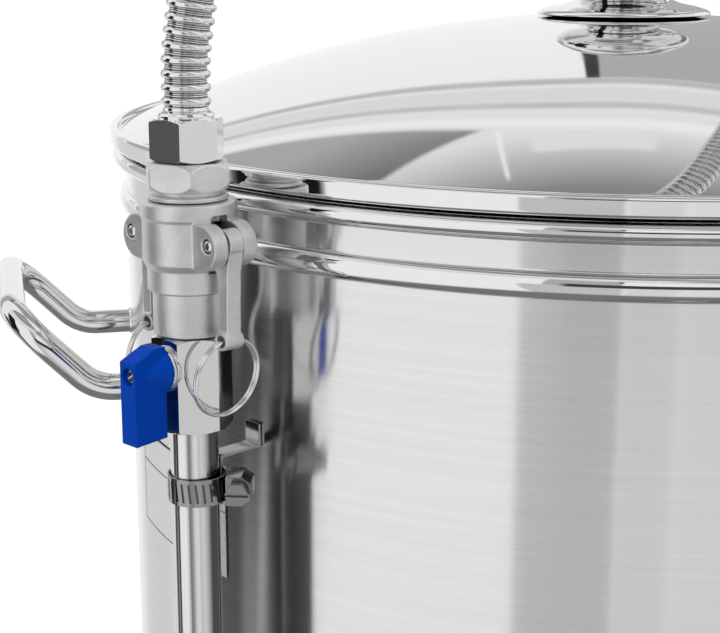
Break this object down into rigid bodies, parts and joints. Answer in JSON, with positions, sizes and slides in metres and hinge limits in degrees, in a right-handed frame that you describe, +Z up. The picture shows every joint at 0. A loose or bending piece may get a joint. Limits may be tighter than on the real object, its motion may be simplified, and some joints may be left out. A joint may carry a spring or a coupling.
{
  "type": "brew kettle",
  "caption": "round stainless electric brew kettle with domed lid, loop handles, pumped recirculation riser with cam-lock, arched hose, drain tap and control box",
  "frame": {"origin": "middle of the base plate's underside, on the kettle's axis", "axes": "+Z up the kettle's axis; -Y is the front with the drain tap and controls; the loop handles are at -X and +X"},
  "size_m": [0.5048, 0.4728, 0.788],
  "materials": {
    "base_housing": "fine horizontal brushing",
    "base_plate": "black moulded plastic",
    "basket_sieve": "fine horizontal brushing",
    "basket_stand": "fine horizontal brushing",
    "basket_wall": "fine horizontal brushing",
    "button_heat": "light moulded plastic",
    "button_minus": "light moulded plastic",
    "button_plus": "light moulded plastic",
    "button_pump": "light moulded plastic",
    "cam_arm_left": "satin investment-cast stainless steel",
    "cam_arm_right": "satin investment-cast stainless steel",
    "cam_pin_left": "polished stainless steel",
    "cam_pin_right": "polished stainless steel",
    "camlock_adapter": "satin investment-cast stainless steel",
    "camlock_coupler": "satin investment-cast stainless steel",
    "camlock_gasket": "matt rubber",
    "clamp_band": "polished stainless steel",
    "clamp_housing": "polished stainless steel",
    "clamp_screw": "polished stainless steel",
    "control_board": "green laminate",
    "control_box": "black moulded plastic",
    "display_window": "smoked clear plastic",
    "foot_back_left": "matt rubber",
    "foot_back_right": "matt rubber",
    "foot_front_left": "matt rubber",
    "foot_front_right": "matt rubber",
    "handle_left": "fine horizontal brushing",
    "handle_right": "fine horizontal brushing",
    "handle_screw": "polished stainless steel",
    "heating_element": "fine horizontal brushing",
    "hose_nipple": "satin investment-cast stainless steel",
    "hose_nut": "polished stainless steel",
    "kettle_shell": "fine horizontal brushing",
    "knob_base": "polished stainless steel",
    "knob_cap": "polished stainless steel",
    "lid_dome": "polished stainless steel",
    "lid_rim": "polished stainless steel",
    "lid_screw": "polished stainless steel",
    "pipe_bracket": "fine horizontal brushing",
    "power_inlet": "black moulded plastic",
    "pull_ring_left": "polished stainless steel",
    "pull_ring_right": "polished stainless steel",
    "pump_impeller": "light moulded plastic",
    "pump_inlet_tube": "polished stainless steel",
    "pump_motor": "black moulded plastic",
    "pump_volute": "black moulded plastic",
    "recirculation_hose": "polished stainless steel",
    "recirculation_pipe": "fine horizontal brushing",
    "return_elbow": "polished stainless steel",
    "return_nut": "polished stainless steel",
    "rocker_switch": "black moulded plastic",
    "tap_ball": "polished stainless steel",
    "tap_body": "satin investment-cast stainless steel",
    "tap_grip": "blue vinyl",
    "tap_lever": "polished stainless steel",
    "temperature_probe": "polished stainless steel",
    "valve_ball": "polished stainless steel",
    "valve_body": "polished stainless steel",
    "valve_handle": "blue vinyl",
    "valve_washer": "polished stainless steel"
  },
  "bodies": {
    "kettle": {"base_housing": "base_housing", "base_plate": "base_plate", "basket_stand": "basket_stand", "cam_pin_left": "cam_pin_left", "cam_pin_right": "cam_pin_right", "camlock_adapter": "camlock_adapter", "camlock_coupler": "camlock_coupler", "camlock_gasket": "camlock_gasket", "clamp_band": "clamp_band", "clamp_housing": "clamp_housing", "clamp_screw": "clamp_screw", "control_board": "control_board", "control_box": "control_box", "display_window": "display_window", "foot_back_left": "foot_back_left", "foot_back_right": "foot_back_right", "foot_front_left": "foot_front_left", "foot_front_right": "foot_front_right", "handle_left": "handle_left", "handle_right": "handle_right", "heating_element": "heating_element", "hose_nipple": "hose_nipple", "hose_nut": "hose_nut", "kettle_shell": "kettle_shell", "pipe_bracket": "pipe_bracket", "power_inlet": "power_inlet", "pump_inlet_tube": "pump_inlet_tube", "pump_motor": "pump_motor", "pump_volute": "pump_volute", "recirculation_hose": "recirculation_hose", "recirculation_pipe": "recirculation_pipe", "return_elbow": "return_elbow", "return_nut": "return_nut", "tap_body": "tap_body", "temperature_probe": "temperature_probe", "valve_body": "valve_body"},
    "lid": {"lid_dome": "lid_dome", "lid_rim": "lid_rim", "knob_base": "knob_base", "knob_cap": "knob_cap", "lid_screw": "lid_screw"},
    "recirc_valve": {"valve_ball": "valve_ball", "valve_washer": "valve_washer", "valve_handle": "valve_handle", "handle_screw": "handle_screw"},
    "cam_lever_right": {"cam_arm_right": "cam_arm_right"},
    "cam_lever_left": {"cam_arm_left": "cam_arm_left"},
    "ring_right": {"pull_ring_right": "pull_ring_right"},
    "ring_left": {"pull_ring_left": "pull_ring_left"},
    "drain_valve": {"tap_ball": "tap_ball", "tap_lever": "tap_lever", "tap_grip": "tap_grip"},
    "impeller": {"pump_impeller": "pump_impeller"},
    "rocker": {"rocker_switch": "rocker_switch"},
    "basket": {"basket_wall": "basket_wall", "basket_sieve": "basket_sieve"},
    "key_minus": {"button_minus": "button_minus"},
    "key_plus": {"button_plus": "button_plus"},
    "key_pump": {"button_pump": "button_pump"},
    "key_heat": {"button_heat": "button_heat"}
  },
  "joints": [
    {"name": "lid_lift", "type": "slide", "parent": "kettle", "child": "lid", "axis": [0, 0, 1], "range_m": [0, 0.05]},
    {"name": "recirc_valve_turn", "type": "hinge", "parent": "kettle", "child": "recirc_valve", "pos_m": [-0.19211, -0.12168, 0.597], "axis": [-0.8448, -0.5351, 0], "range_deg": [0, 90]},
    {"name": "cam_right_swing", "type": "hinge", "parent": "kettle", "child": "cam_lever_right", "pos_m": [-0.18199, -0.13765, 0.6385], "axis": [-0.8448, -0.5351, 0], "range_deg": [0, 95]},
    {"name": "cam_left_swing", "type": "hinge", "parent": "kettle", "child": "cam_lever_left", "pos_m": [-0.20222, -0.10571, 0.6385], "axis": [0.8448, 0.5351, 0], "range_deg": [0, 95]},
    {"name": "ring_right_swing", "type": "hinge", "parent": "cam_lever_right", "child": "ring_right", "pos_m": [-0.18215, -0.13739, 0.6077], "axis": [-0.8448, -0.5351, 0], "range_deg": [0, 75]},
    {"name": "ring_left_swing", "type": "hinge", "parent": "cam_lever_left", "child": "ring_left", "pos_m": [-0.20206, -0.10597, 0.6077], "axis": [0.8448, 0.5351, 0], "range_deg": [0, 75]},
    {"name": "tap_turn", "type": "hinge", "parent": "kettle", "child": "drain_valve", "pos_m": [0, -0.234, 0.155], "axis": [0, 0, -1], "range_deg": [0, 90]},
    {"name": "impeller_spin", "type": "hinge", "parent": "kettle", "child": "impeller", "pos_m": [-0.08026, -0.05083, 0.06], "axis": [0, 0, 1], "continuous": true},
    {"name": "rocker_tilt", "type": "hinge", "parent": "kettle", "child": "rocker", "pos_m": [0.041, -0.2225, 0.036], "axis": [1, 0, 0], "range_deg": [-14, 0]},
    {"name": "basket_lift", "type": "slide", "parent": "kettle", "child": "basket", "axis": [0, 0, 1], "range_m": [0, 0.04]},
    {"name": "press_minus", "type": "slide", "parent": "kettle", "child": "key_minus", "axis": [0, 1, 0], "range_m": [0, 0.0012], "stiffness_N_per_m": 400},
    {"name": "press_plus", "type": "slide", "parent": "kettle", "child": "key_plus", "axis": [0, 1, 0], "range_m": [0, 0.0012], "stiffness_N_per_m": 400},
    {"name": "press_pump", "type": "slide", "parent": "kettle", "child": "key_pump", "axis": [0, 1, 0], "range_m": [0, 0.0012], "stiffness_N_per_m": 400},
    {"name": "press_heat", "type": "slide", "parent": "kettle", "child": "key_heat", "axis": [0, 1, 0], "range_m": [0, 0.0012], "stiffness_N_per_m": 400}
  ]
}
